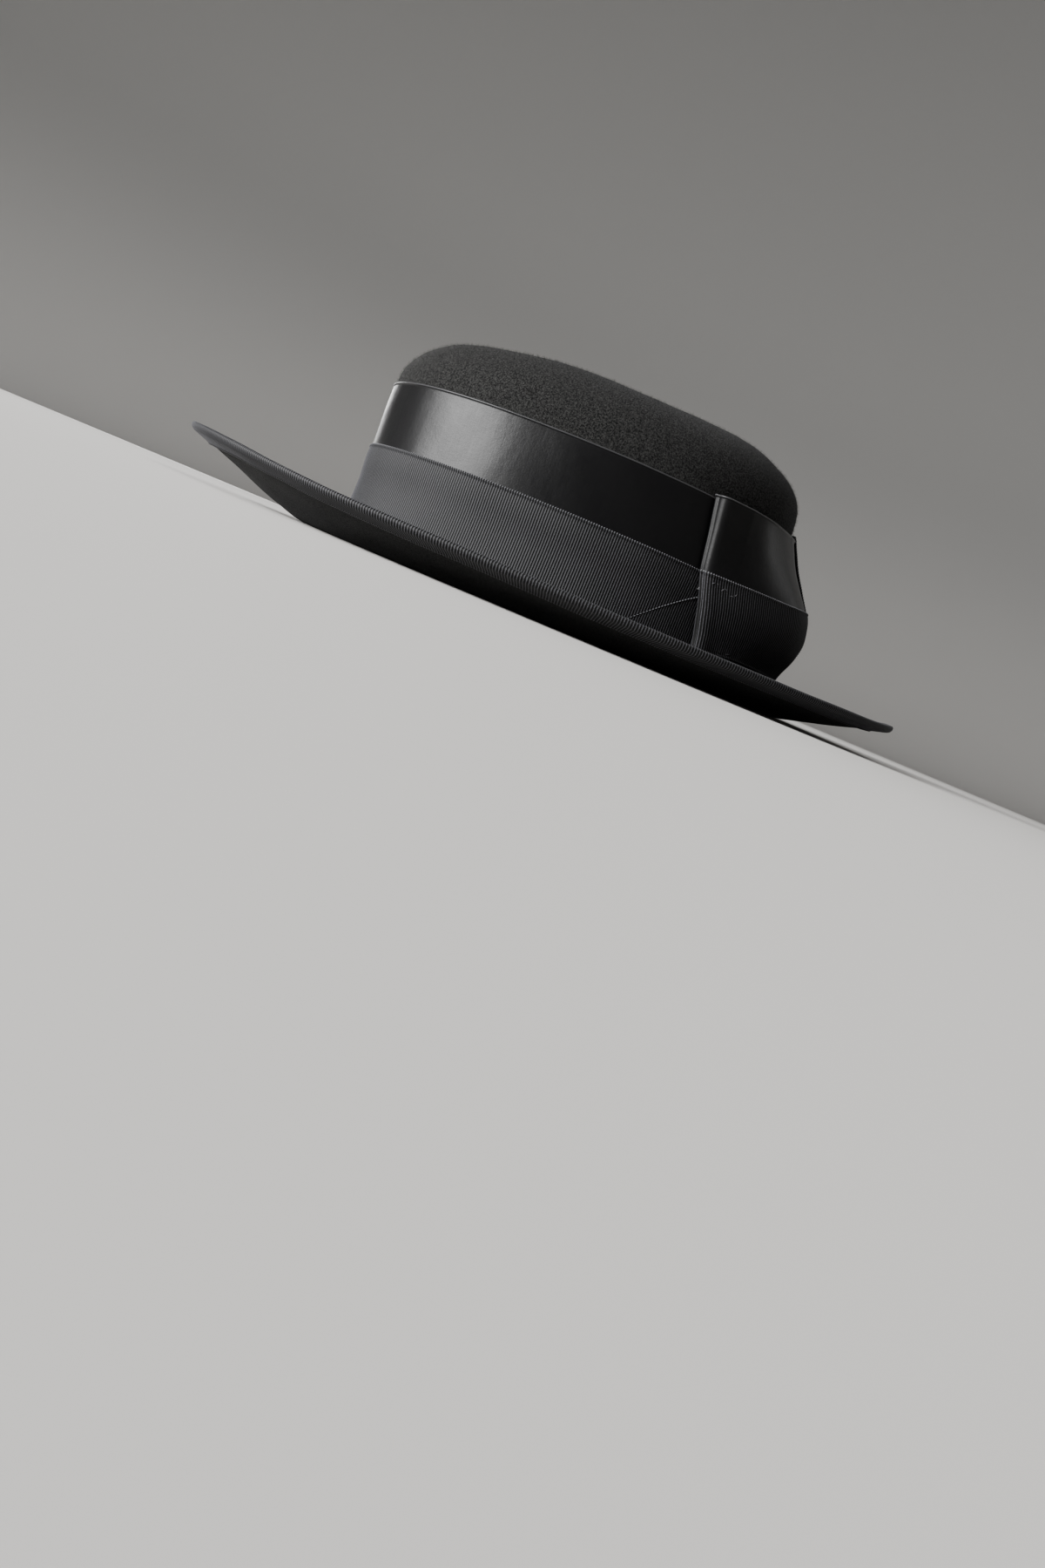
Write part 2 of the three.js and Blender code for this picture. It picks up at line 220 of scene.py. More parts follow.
def brim_rise(angle, out):
    """How far the brim has risen above its flat ring, at a distance out from the wall."""
    width, height = rim_at(angle)
    slope = (height - FELT / 2) / (width - REST_RING - BRIM_BEND / 2)
    past = np.maximum(out - REST_RING, 0)
    bent = slope * past**2 / (2 * BRIM_BEND)
    return np.where(past < BRIM_BEND, bent, slope * (past - BRIM_BEND / 2))


def brim_out(angle, flat_out):
    """A distance out on the narrowest brim, stretched to the brim's width at an angle."""
    width, _ = rim_at(angle)
    stretch = (width - REST_RING) / (BRIM_WIDTH - REST_RING)
    return np.where(flat_out > REST_RING, REST_RING + (flat_out - REST_RING) * stretch, flat_out)


print("brim edge, mm, front and back:", [round(float(rim_at(a)[1]) / MM, 1) for a in (-BACK, BACK)])

# %% [markdown]
# ## Small tools for the bench
#
# A few habits keep the work safe. Deselect everything before adding a primitive, since an
# operator acts on all that is selected. Read and write vertex places as one array, which is
# quick even with thousands of ribs. Apply every modifier, so that what rides on the hat is the
# finished mesh. One more habit helps with nodes: a single small function adds a node with its
# settings and its links, so a whole network reads from top to bottom.

# %% Bench tools


def deselect_all():
    bpy.ops.object.select_all(action="DESELECT")


def points_of(piece):
    places = np.empty(len(piece.data.vertices) * 3)
    piece.data.vertices.foreach_get("co", places)
    return places.reshape(-1, 3)


def set_points(piece, places):
    piece.data.vertices.foreach_set("co", np.asarray(places, float).ravel())
    piece.data.update()


def in_edit_mode(piece, *steps):
    """Runs mesh operators on all of a piece: each step is an operator and its settings."""
    bpy.context.view_layer.objects.active = piece
    bpy.ops.object.mode_set(mode="EDIT")
    bpy.ops.mesh.select_all(action="SELECT")
    for operator, settings in steps:
        operator(**settings)
    bpy.ops.object.mode_set(mode="OBJECT")


def apply_modifier(piece, kind, **settings):
    modifier = piece.modifiers.new(kind.title(), kind)
    for name, value in settings.items():
        setattr(modifier, name, value)
    bpy.context.view_layer.objects.active = piece
    bpy.ops.object.modifier_apply(modifier=modifier.name)


def smooth_shading(piece):
    in_edit_mode(piece, (bpy.ops.mesh.faces_shade_smooth, {}))


def bring_in(thing):
    bpy.context.scene.collection.objects.link(thing)


def copy_piece(piece, name):
    """A copy with a mesh of its own."""
    copy = piece.copy()
    copy.data = piece.data.copy()
    copy.name = name
    bring_in(copy)
    return copy


def add_node(tree, kind, settings=None, links=None):
    """Adds a node with its settings, and links it from other nodes' outputs."""
    made = tree.nodes.new(kind)
    for name, value in (settings or {}).items():
        if isinstance(name, int) or name in made.inputs:
            made.inputs[name].default_value = value
        else:
            setattr(made, name, value)
    for name, (source, output) in (links or {}).items():
        tree.links.new(source.outputs[output], made.inputs[name])
    return made


def lumps(places, size, height, seed):
    """Soft unevenness of hand work: one height for each place, from lumps of a size."""
    shift = Vector((seed, 2 * seed, 3 * seed))
    return np.array([noise.noise(Vector(place) / size + shift) for place in places]) * height


def report_piece(piece, what):
    size = points_of(piece).max(0) - points_of(piece).min(0)
    faces = len(piece.data.polygons)
    print(f"{piece.name}: {what}, {faces} faces, mm {[round(side / MM, 1) for side in size]}")


# %% [markdown]
# ## Felt: one shell, turned and then blocked
#
# Crown and brim are one piece of felt, so they are one mesh. The section is drawn as a line from
# the middle of the crown's top, over the soft shoulder, down the wall, round the foot and out
# over the brim. Spinning that line makes a round hat, as if the cone were still on a round
# block. Then every point is carried from the circle to the head oval, which is what blocking
# does. Solidify gives the felt its two millimetres last, inwards from the outside face.

# %% Draw the section of the felt
CIRCLE = 100 * MM
SHOULDER_REACH = 34 * MM
SHOULDER_DROP = 29 * MM
FOOT_FILLET = 4 * MM
TURN_STEPS = 256
TOP_SHARES = (1, 0.97, 0.85, 0.7, 0.55, 0.45)  # the top's points, from its middle outwards
BRIM_START = 2 * MM  # past the middle of the fillet
SHOULDER_STEPS, FOOT_STEPS = 16, 6
WALL_POINTS, BRIM_POINTS = 14, 24


def arc(centre, radii, start, end, steps):
    """Points of an arc with its ends, as out and height, from angles in degrees."""
    angles = np.radians(np.linspace(start, end, steps + 1))
    return [
        (centre[0] + radii[0] * math.cos(angle), centre[1] + radii[1] * math.sin(angle))
        for angle in angles
    ]


def felt_section():
    shoulder = CROWN_HEIGHT - SHOULDER_DROP
    shoulder_centre = (wall_out(shoulder) - SHOULDER_REACH, shoulder)
    foot = FELT + FOOT_FILLET
    foot_centre = (wall_out(foot) + FOOT_FILLET, foot)
    top = [(-CIRCLE * share, CROWN_HEIGHT + CROWN_DOME * share) for share in TOP_SHARES]
    wall = [(wall_out(height), height) for height in np.linspace(shoulder, foot, WALL_POINTS)[1:-1]]
    brim_starts = foot_centre[0] + BRIM_START
    brim = [(out, FELT) for out in np.linspace(brim_starts, BRIM_WIDTH - FELT / 4, BRIM_POINTS)]
    return [
        *top,
        *arc(shoulder_centre, (SHOULDER_REACH, SHOULDER_DROP), 90, 0, SHOULDER_STEPS),
        *wall,
        *arc(foot_centre, (FOOT_FILLET, FOOT_FILLET), 180, 270, FOOT_STEPS),
        *brim,
    ]


def draw_line(name, section):
    """Draws a section as an edge line at y = 0, by merging a plane to one point and extruding it."""
    deselect_all()
    bpy.ops.mesh.primitive_plane_add(size=MM)
    line = bpy.context.object
    line.name = name
    places = [Vector((CIRCLE + out, 0, height)) for out, height in section]
    bpy.ops.object.mode_set(mode="EDIT")
    bpy.ops.mesh.merge(type="CENTER")
    bpy.ops.transform.translate(value=places[0])
    for here, there in zip(places, places[1:]):
        bpy.ops.mesh.extrude_region_move(TRANSFORM_OT_translate={"value": there - here})
    bpy.ops.object.mode_set(mode="OBJECT")
    return line


felt_hat = draw_line("felt_crown_and_brim", felt_section())
print("felt section:", len(felt_hat.data.vertices), "points")

# %% Spin the section, and block it to the head oval


def block(places):
    """Carries points from the round block to the head oval, and lifts the brim."""
    angle = np.arctan2(places[:, 1], places[:, 0])
    radius = np.hypot(places[:, 0], places[:, 1])
    shrink_from = -SHOULDER_REACH - FELT
    out = brim_out(angle, radius - CIRCLE)
    x, y = oval(angle, np.maximum(out, shrink_from))
    shrink = np.minimum(radius / (CIRCLE + shrink_from), 1)
    x = x * shrink
    y = HEAD_Y + (y - HEAD_Y) * shrink
    return lean(x, y, places[:, 2] + brim_rise(angle, out)), out


spin = dict(steps=TURN_STEPS, angle=2 * math.pi, center=(0, 0, 0), axis=(0, 0, 1))
in_edit_mode(
    felt_hat,
    (bpy.ops.mesh.spin, spin),
    (bpy.ops.mesh.select_all, dict(action="SELECT")),
    (bpy.ops.mesh.remove_doubles, dict(threshold=0.01 * MM)),
    (bpy.ops.mesh.normals_make_consistent, dict(inside=False)),
)
blocked, felt_outs = block(points_of(felt_hat))
set_points(felt_hat, blocked)

# Hand-blocked felt is never quite even. The lumps die away on the flat ring, which has to rest,
# and towards the edge, which the binding holds. Their sizes and heights are in millimetres.
Lump = namedtuple("Lump", "size height seed")
FELT_LUMPS = [Lump(42, 1.5, 3), Lump(15, 0.35, 5)]
EDGE_EASE = 30 * MM
RING_STILL = 0.6  # no lumps up to this far from the ring's middle, as a share of its width
off_ring = np.clip(np.abs(felt_outs - REST_RING / 2) / REST_RING - RING_STILL, 0, 1)
off_edge = np.clip((BRIM_WIDTH - felt_outs) / EDGE_EASE, 0, 1)
uneven = sum(lumps(blocked, row.size * MM, row.height * MM, row.seed) for row in FELT_LUMPS)
normals = np.array([vertex.normal for vertex in felt_hat.data.vertices])
set_points(felt_hat, blocked + normals * (uneven * off_ring * off_edge)[:, None])
if normals[np.argmax(blocked[:, 2])][2] < 0:
    in_edit_mode(felt_hat, (bpy.ops.mesh.flip_normals, {}))
nap = copy_piece(felt_hat, "felt_nap_fibres")
apply_modifier(felt_hat, "SOLIDIFY", thickness=FELT, offset=-1, use_even_offset=True)
smooth_shading(felt_hat)
report_piece(felt_hat, "felt shell")

# %% [markdown]
# ## The nap
#
# Brushed fur felt is never sharp at its outline, because fine hairs stand up from it. A small
# node group scatters thin three-sided spikes over the outer face, each leaning its own way.
# It grows them only where the felt is bare. Applied, it leaves an ordinary closed mesh of
# spikes, with four triangles to a hair. Real hairs are finer and shorter, and these are drawn
# as coarse as they need to be to show.

# %% Grow the nap
HAIR_LENGTH = 1.4 * MM
HAIR_RADIUS = 0.045 * MM
HAIRS_PER_M2 = 0.42e6
HAIR_LEAN = 0.95  # how far a hair leans over, in radians, at most
CLEAR_OF_BAND = 3 * MM
CLEAR_OF_BINDING = 9 * MM
ABOVE_BAND = 2 * MM


def hair_nodes():
    """Points on the faces where "bare" is 1, a leaning spike on each, and nothing else."""
    group = bpy.data.node_groups.new("nap", "GeometryNodeTree")
    for way in ("INPUT", "OUTPUT"):
        group.interface.new_socket("Geometry", in_out=way, socket_type="NodeSocketGeometry")
    add = partial(add_node, group)
    start = add("NodeGroupInput")
    bare = add("GeometryNodeInputNamedAttribute", {"Name": "bare"})
    density = add(
        "ShaderNodeMath", {"operation": "MULTIPLY", 1: HAIRS_PER_M2}, {0: (bare, "Attribute")}
    )
    scatter = add(
        "GeometryNodeDistributePointsOnFaces",
        links={"Mesh": (start, 0), "Density": (density, 0)},
    )
    spike = add(
        "GeometryNodeMeshCone",
        {"Vertices": 3, "Radius Top": 0, "Radius Bottom": HAIR_RADIUS, "Depth": HAIR_LENGTH},
    )
    least, most = (-HAIR_LEAN, -HAIR_LEAN, 0), (HAIR_LEAN, HAIR_LEAN, 2 * math.pi)
    leaning = add("FunctionNodeRandomValue", {"data_type": "FLOAT_VECTOR", 0: least, 1: most})
    turned = add(
        "FunctionNodeRotateRotation",
        {"rotation_space": "LOCAL"},
        {"Rotation": (scatter, "Rotation"), "Rotate By": (leaning, 0)},
    )
    grow = add(
        "GeometryNodeInstanceOnPoints",
        links={
            "Points": (scatter, "Points"),
            "Instance": (spike, "Mesh"),
            "Rotation": (turned, "Rotation"),
        },
    )
    real = add("GeometryNodeRealizeInstances", links={"Geometry": (grow, "Instances")})
    add("NodeGroupOutput", links={0: (real, "Geometry")})
    return group


past_band = felt_outs > grosgrain_high.x - HALF_WIDTH + CLEAR_OF_BAND
is_brim = past_band & (felt_outs < BRIM_WIDTH - CLEAR_OF_BINDING)
is_bare = is_brim | (blocked[:, 2] > BAND_TOP + ABOVE_BAND)
nap.data.attributes.new("bare", "FLOAT", "POINT").data.foreach_set("value", is_bare.astype(float))
apply_modifier(nap, "NODES", node_group=hair_nodes())
report_piece(nap, "nap")

# %% [markdown]
# ## Ribbon: cut it flat, then lay it on
#
# A grosgrain ribbon has a thick weft thread in every rib, and the fine warp covers it. The ribs
# are about 1.1 mm apart. At both edges the weft turns back, which leaves a row of tiny loops,
# the picot. Satin has no ribs, but its woven edge is a thin firm cord. All of this is in the
# mesh: a flat grid gets its ribs and its edge rows, and keeps its place on the ribbon as its UV,
# in metres, so that weave patterns have their real size on every piece.
#
# Laying it on is one function: each point of the flat strip goes to its place on the hat, and
# its height above the strip goes along the surface's normal there.

# %% Sections of the three ribbons
RIBBON_WIDTH = 38 * MM
CLOTH = 0.4 * MM
RIB_PITCH = 1.13 * MM
RIB_HEIGHT = 0.26 * MM
STEPS_PER_RIB = 4
RIBBON_LUMP = 22 * MM
END_CLEAR = 0.1 * MM
NUDGE = 0.05 * MM  # how far to either side a slope is measured
EdgeRow = namedtuple("EdgeRow", "across lift ribs scallop")

# One edge of each ribbon, from the edge inwards: how high the row lies, how much of a rib's
# height it has, and how far the picot loops push it out. All in millimetres, ribs as a share.
GROSGRAIN_EDGE = [
    EdgeRow(0, 0, 0.3, 0.42), EdgeRow(0.25, 0.28, 0.8, 0.3), EdgeRow(0.6, 0.3, 1, 0),
    EdgeRow(1, 0.02, 0.75, 0), EdgeRow(1.8, 0, 1, 0),
]
SATIN_EDGE = [
    EdgeRow(0, -0.1, 0, 0), EdgeRow(0.08, 0.28, 0, 0), EdgeRow(0.35, 0.46, 0, 0),
    EdgeRow(0.65, 0.3, 0, 0), EdgeRow(0.8, 0.02, 0, 0), EdgeRow(1.3, 0, 0, 0),
]


def ribbon_rows(edge, width, plain_places):
    """The rows across a ribbon: one edge, the plain middle, and the other edge the other way round.
    The plain places are shares of the width between the two edges."""
    start, end = edge[-1].across * MM, width - edge[-1].across * MM
    plain = [
        EdgeRow((start + (end - start) * share) / MM, 0, edge[-1].ribs, 0) for share in plain_places
    ]
    far = [row._replace(across=width / MM - row.across, scallop=-row.scallop) for row in edge[::-1]]
    return [*edge, *plain, *far]


def even(count):
    """Evenly spaced shares, without the ends."""
    return np.linspace(0, 1, count + 2)[1:-1]


def cut_ribbon(name, length, rows, steps):
    """A flat strip along +X. Gives the piece and, for each point, its along, across and height."""
    deselect_all()
    bpy.ops.mesh.primitive_grid_add(x_subdivisions=steps, y_subdivisions=len(rows) - 1, size=1)
    strip = bpy.context.object
    strip.name = name
    grid = points_of(strip)
    step = np.round((grid[:, 0] - grid[:, 0].min()) / np.ptp(grid[:, 0]) * steps)
    row = np.round((grid[:, 1] - grid[:, 1].min()) / np.ptp(grid[:, 1]) * (len(rows) - 1)).astype(int)
    from_side, lift, ribs, scallop = np.array([tuple(r) for r in rows])[row].T
    wave = 0.5 - 0.5 * np.cos(2 * math.pi * step / STEPS_PER_RIB)
    along = step / steps * length
    across = (from_side - scallop * wave) * MM
    height = lift * MM + ribs * wave * RIB_HEIGHT
    corners = np.empty(len(strip.data.loops), int)
    strip.data.loops.foreach_get("vertex_index", corners)
    woven = step / STEPS_PER_RIB * RIB_PITCH if ribs.any() else along
    places = np.stack([woven[corners], across[corners]], axis=-1)
    strip.data.uv_layers.active.data.foreach_set("uv", places.ravel())
    from_edge = np.minimum(across - across.min(), across.max() - across)
    strip.data.attributes.new("from_edge", "FLOAT", "POINT").data.foreach_set("value", from_edge)
    return strip, np.stack([along, across, height], axis=-1)


def laid(flat, place, uneven, seed):
    """Where points with an along, an across and a height go, when place() says how the cloth lies."""
    along, across, height = flat.T
    points = place(along, across)
    by_along = place(along + NUDGE, across) - place(along - NUDGE, across)
    by_across = place(along, across + NUDGE) - place(along, across - NUDGE)
    normal = np.cross(by_along, by_across)
    normal /= np.linalg.norm(normal, axis=1)[:, None]
    return points + normal * (height + lumps(points, RIBBON_LUMP, uneven, seed))[:, None]


def make_ribbon(name, length, rows, place, uneven, seed, steps=None, clear_ends=False):
    """Cuts a ribbon flat, lays it on the hat and gives it its thickness. Without a number of
    steps, it is cut with whole ribs of about their pitch. Clear ends keep its points just inside
    its length, where a place can be measured both ways."""
    strip, flat = cut_ribbon(name, length, rows, steps or round(length / RIB_PITCH) * STEPS_PER_RIB)
    if clear_ends:
        flat[:, 0] = np.clip(flat[:, 0], END_CLEAR, length - END_CLEAR)
    set_points(strip, laid(flat, place, uneven, seed))
    apply_modifier(strip, "SOLIDIFY", thickness=CLOTH, offset=-1, use_even_offset=False)
    smooth_shading(strip)
    report_piece(strip, f"{length / MM:.0f} mm of ribbon")
    return strip


print("grosgrain rows across:", len(ribbon_rows(GROSGRAIN_EDGE, RIBBON_WIDTH, even(6))))

# %% [markdown]
# ## The two bands round the crown
#
# The satin goes on first, and the grosgrain is lapped over its lower edge. Both run all the way
# round, and their ends meet at the middle of the back, where the bow covers them. A tape laid
# round the oval says how long each one is cut.

# %% Lay the satin band
SATIN_LIFT = 0.85 * MM  # the satin's face, out from the felt
satin_length = girths(SATIN_LIFT)[-1]
SATIN_WIDTH = satin_high.z - satin_low.z
SATIN_STEPS = 480
BANDS_UNEVEN = dict(uneven=0.5 * MM, seed=7)  # the same for both, so that neither cuts the other


def on_crown(lift_at, foot):
    """A place() for a ribbon round the crown, from its lift at a height and its lower edge."""

    def place(along, across):
        height = foot + across
        angle = angle_at(along, SATIN_LIFT)
        x, y = oval(angle, wall_out(height) + lift_at(height))
        return lean(x, y, height)

    return place


satin_rows = ribbon_rows(SATIN_EDGE, SATIN_WIDTH, even(8))
on_felt = on_crown(lambda height: SATIN_LIFT, satin_low.z)
satin_band = make_ribbon(
    "satin_hatband", satin_length, satin_rows, on_felt, **BANDS_UNEVEN, steps=SATIN_STEPS
)

# %% Lay the grosgrain band over it
GROSGRAIN_LIFT = 0.8 * MM
LAP_LIFT = SATIN_LIFT + CLOTH + 0.25 * MM
LAP_FOOT = satin_low.z - 4 * MM


def lapped(height):
    """The grosgrain lies on the felt, and climbs onto the satin at its lower edge."""
    share = np.clip((height - LAP_FOOT) / (satin_low.z - LAP_FOOT), 0, 1)
    return GROSGRAIN_LIFT + (LAP_LIFT - GROSGRAIN_LIFT) * share**2 * (3 - 2 * share)


GROSGRAIN_WIDTH = grosgrain_high.z - grosgrain_low.z
grosgrain_rows = ribbon_rows(GROSGRAIN_EDGE, GROSGRAIN_WIDTH, even(7))
over_satin = on_crown(lapped, grosgrain_low.z)
grosgrain_band = make_ribbon(
    "grosgrain_hatband", satin_length, grosgrain_rows, over_satin, **BANDS_UNEVEN
)

# %% [markdown]
# ## The binding on the brim's edge
#
# A narrower grosgrain is steamed to a curve and folded over the edge, so that each rib runs from
# underneath, round the edge and back over the top. Its ribs stay square to the edge because
# the tape is measured along the edge itself.

# %% Fold the binding over the edge
BINDING_REACH = 8.5 * MM
EDGE_RADIUS = FELT / 2 + CLOTH + 0.15 * MM
binding_length = girths(BRIM_WIDTH + FELT)[-1]


def over_edge(along, across):
    """From underneath, round the brim's edge, and back in over its top."""
    angle = angle_at(along, BRIM_WIDTH + FELT)
    round_start = BINDING_REACH - FELT / 2
    turn = np.clip((across - round_start) / EDGE_RADIUS, 0, math.pi) - BACK
    before = np.minimum(across - round_start, 0)
    after = np.maximum(across - round_start - math.pi * EDGE_RADIUS, 0)
    flat_out = BRIM_WIDTH - FELT / 2 + EDGE_RADIUS * np.cos(turn) + before - after
    out = brim_out(angle, flat_out)
    x, y = oval(angle, out)
    height = FELT / 2 + EDGE_RADIUS * np.sin(turn) + brim_rise(angle, out)
    return np.stack([x, y, height], axis=-1)


binding_flat_width = 2 * (BINDING_REACH - FELT / 2) + math.pi * EDGE_RADIUS
FOLD_SHARES = [0.37, 0.43, 0.48, 0.53, 0.58, 0.64, 0.81]  # close together round the edge
binding_rows = ribbon_rows(GROSGRAIN_EDGE[1:4], binding_flat_width, FOLD_SHARES)
binding = make_ribbon(
    "brim_edge_binding", binding_length, binding_rows, over_edge, uneven=0.2 * MM, seed=4
)

# %% [markdown]
# ## The bow: loops, tails and knot
#
# The bow is the same two ribbons, sewn together at the lap, so each loop has a satin part above
# and a grosgrain part below. Seen from above, a loop runs out along the crown, turns back in a
# tight fold, and comes home standing off the crown, fullest near the knot. The path is worked
# out once, as a fine line of points, and a tape along it says where each rib goes.

# %% The loop's path
BOW_HALF_GIRTH = 102 * MM
Puff = namedtuple("Puff", "height out")
STAND_OFF = [
    Puff(0, 11.8), Puff(10, 14), Puff(20, 17.2), Puff(27, 21), Puff(36, 23.1), Puff(45, 21.1),
    Puff(51, 18.2), Puff(57, 13.9), Puff(65, 9.1), Puff(73, 5.6), Puff(79, 2.4), Puff(86, 1.4),
]
LOOP_TOP = 75.5 * MM
NOSE = 0.32  # the fold's own tight turn, as a share of its depth
FOLD_SWELL = 4 * MM  # beyond the fold the outer side rounds up over this length
LEAST_GAP = 0.8 * MM  # the two sides of a loop come this close at its upper edge
EDGE_LIFT = 10 * MM  # the lower edge of the full side curls up, because the ribbon bulges
CURL_FROM = 38 * MM
HOME_RISE = 5.5 * MM  # the outer side of a loop climbs this much on its way to the knot
Full = namedtuple("Full", "along share")
LOOP_OUTLINE = [
    Full(0, 0.8), Full(0.12, 0.88), Full(0.24, 0.98), Full(0.4, 0.9), Full(0.6, 0.68),
    Full(0.75, 0.5), Full(0.88, 0.32), Full(1, 0.12),
]
Fold = namedtuple("Fold", "height turn")
FOLD_LINE = [
    Fold(9, 39.5), Fold(20, 40.5), Fold(31, 42.5), Fold(44, 45.6), Fold(59, 47.2), Fold(75, 49),
]
START_TURN = 1.5  # turns are in degrees from the middle of the back
TAPE_POINTS = 1201
FOLD_AT_FOOT, FOLD_GAIN = 0.55, 0.45  # shares of the fold's depth: at the foot, and won by the top
RISE_EASE, CURL_EASE = 1.3, 0.5  # powers that say how soon the outer side climbs and curls
CURL_FADE = 1.5  # the power with which the curl fades upwards
RISE_LOST = 0.45  # the share of the climb that the loop's upper edge goes without
CLOSING, CLOSES_AFTER = 2, 0.4  # how fast and how late the loop's sides come together
OUT_UNTIL, HOME_FROM = 0.42, 0.46  # shares of a loop's way, with the fold between them
stand_off = smooth_table(STAND_OFF, (MM, MM))
fullness = smooth_table(LOOP_OUTLINE)
fold_turn = smooth_table(FOLD_LINE, (MM, 1))
TURN_LENGTH = math.radians(1) * BOW_HALF_GIRTH  # about how long a degree is, along the band


def loop_line(share, height, inner, outer, fold_depth):
    """The loop at a share of its way: out under the bow, round the fold, and home outside.
    Gives the turn from the back's middle, in degrees, the distance out from the wall, and the
    height there, because the outer side climbs a little."""
    tight = fold_depth * (FOLD_AT_FOOT + FOLD_GAIN * np.clip(height / LOOP_TOP, 0, 1) ** 2)
    nose = tight * NOSE / 2
    far = fold_turn(height) - nose / TURN_LENGTH
    going = np.clip(share / OUT_UNTIL, 0, 1)
    folding = np.clip((share - OUT_UNTIL) / (HOME_FROM - OUT_UNTIL), 0, 1) * math.pi
    coming = np.clip((share - HOME_FROM) / (1 - HOME_FROM), 0, 1)
    along = 1 - coming
    turn = START_TURN + (far - START_TURN) * np.where(share < (OUT_UNTIL + HOME_FROM) / 2, going, along)
    turn = turn + nose / TURN_LENGTH * np.sin(folding)
    rise = HOME_RISE * coming**RISE_EASE * (1 - RISE_LOST * (height / LOOP_TOP) ** 3)
    low = np.clip(1 - height / CURL_FROM, 0, 1)
    curl = EDGE_LIFT * np.sin(math.pi * coming**CURL_EASE) * low**CURL_FADE
    lifted = height + rise + curl
    from_fold = np.clip((far - turn) * TURN_LENGTH / FOLD_SWELL, 0, 1)
    swell = np.sqrt(1 - (1 - from_fold) ** 2)
    depth = np.maximum(fullness(along) * (stand_off(lifted) - outer) - inner, 0)
    rounded = nose * 2 + (tight - nose * 2) * swell
    least = rounded + (LEAST_GAP - rounded) * np.clip(coming * CLOSING - CLOSES_AFTER, 0, 1)
    folded = nose * (1 - np.cos(folding))
    back = np.where(share < HOME_FROM, folded, np.hypot(depth * swell, least))
    return turn, inner + back, lifted


def at_back(turn, out, height, side=1):
    """A place at the back of the crown, by its turn from the middle, towards +X."""
    x, y = oval(BACK - side * np.radians(turn), wall_out(height) + out)
    return lean(x, y, height)


def loop_tape(height, inner, outer, fold_depth):
    """Shares of a loop's way, and the length of ribbon from its start to each."""
    shares = np.linspace(0, 1, TAPE_POINTS)
    points = at_back(*loop_line(shares, height, inner, outer, fold_depth))
    steps = np.linalg.norm(np.diff(points, axis=0), axis=1)
    return shares, np.concatenate([[0], np.cumsum(steps)])


print("fold, degrees from the back, top:", round(float(fold_turn(LOOP_TOP)), 1))

# %% Cut and lay the loops
GROSGRAIN_LOOP_WIDTH = RIBBON_WIDTH - 1.6 * MM
SATIN_LOOP_STEPS = 320
LOOPS_UNEVEN = dict(uneven=0.6 * MM, seed=11)


def make_loop(name, rows, foot, inner, outer, fold_depth, steps=None):
    """One ribbon's part of the left loop. Gives the piece, the length it was cut to, and its
    place()."""
    middle = foot + rows[-1].across * MM / 2
    shares, tape = loop_tape(middle, inner, outer, fold_depth)
    length = tape[-1]

    def place(along, across):
        share = np.interp(along, tape, shares)
        return at_back(*loop_line(share, foot + across, inner, outer, fold_depth))

    strip = make_ribbon(name, length, rows, place, **LOOPS_UNEVEN, steps=steps, clear_ends=True)
    return strip, length, place


satin_loop, satin_loop_length, _ = make_loop(
    "bow_loop_satin_left",
    ribbon_rows(SATIN_EDGE, RIBBON_WIDTH, even(16)),
    foot=LOOP_TOP - RIBBON_WIDTH,
    inner=1.55 * MM,
    outer=1 * MM,
    fold_depth=7 * MM,
    steps=SATIN_LOOP_STEPS,
)
grosgrain_loop, grosgrain_loop_length, on_loop = make_loop(
    "bow_loop_grosgrain_left",
    ribbon_rows(GROSGRAIN_EDGE, GROSGRAIN_LOOP_WIDTH, even(14)),
    foot=8.8 * MM,
    inner=3.1 * MM,
    outer=0,
    fold_depth=6.6 * MM,
)

# %% [markdown]
# ## Hand stitches
#
# The two ribbons of a loop are tacked together beside the fold with a few short stitches. Each is
# a small sphere, stretched to the size of a stitch. Its points are taken as places along, across
# and above the ribbon, so laying it on the loop is the same step as laying a ribbon.

# %% Tack the loop with small stitches
Stitch = namedtuple("Stitch", "past_fold below_top slant length")
STITCHES = [
    Stitch(2.2, 3.2, 0.5, 1.3), Stitch(4.1, 3, -0.4, 0.9), Stitch(6.6, 4.3, 0.8, 1.5),
    Stitch(8.3, 3.9, -0.7, 1), Stitch(10.9, 5.4, 0.1, 1.7), Stitch(12.7, 4.4, 1.1, 1),
    Stitch(15.3, 33.8, 0.3, 2.2),
]
THREAD = 0.42 * MM
PAST_FOLD = 0.475  # the share of the loop's length at which the first stitches are counted from


def sew(stitch):
    """One stitch on the outer side of the left loop."""
    deselect_all()
    bpy.ops.mesh.primitive_uv_sphere_add(segments=10, ring_count=8, radius=0.5)
    thread = bpy.context.object
    ball = points_of(thread)
    along = grosgrain_loop_length * PAST_FOLD + (stitch.past_fold + ball[:, 0] * stitch.length) * MM
    across = GROSGRAIN_LOOP_WIDTH - stitch.below_top * MM + ball[:, 1] * THREAD
    across = across + ball[:, 0] * stitch.slant * stitch.length * MM
    height = RIB_HEIGHT + ball[:, 2] * THREAD
    set_points(thread, laid(np.stack([along, across, height], axis=-1), on_loop, **LOOPS_UNEVEN))
    smooth_shading(thread)
    return thread


threads = [sew(stitch) for stitch in STITCHES]
deselect_all()
for thread in threads:
    thread.select_set(True)
bpy.context.view_layer.objects.active = threads[0]
bpy.ops.object.join()
stitches = bpy.context.object
stitches.name = "bow_tacking_stitches"
report_piece(stitches, f"{len(STITCHES)} stitches")

# %% [markdown]
# ## The tails
#
# A tail is a flat end of grosgrain, cut on the slant and left lying on the band under its loop.
# Only its slanted edge shows. The ribs are cut first and then squeezed in height along the slant,
# which keeps them upright to the very tip.

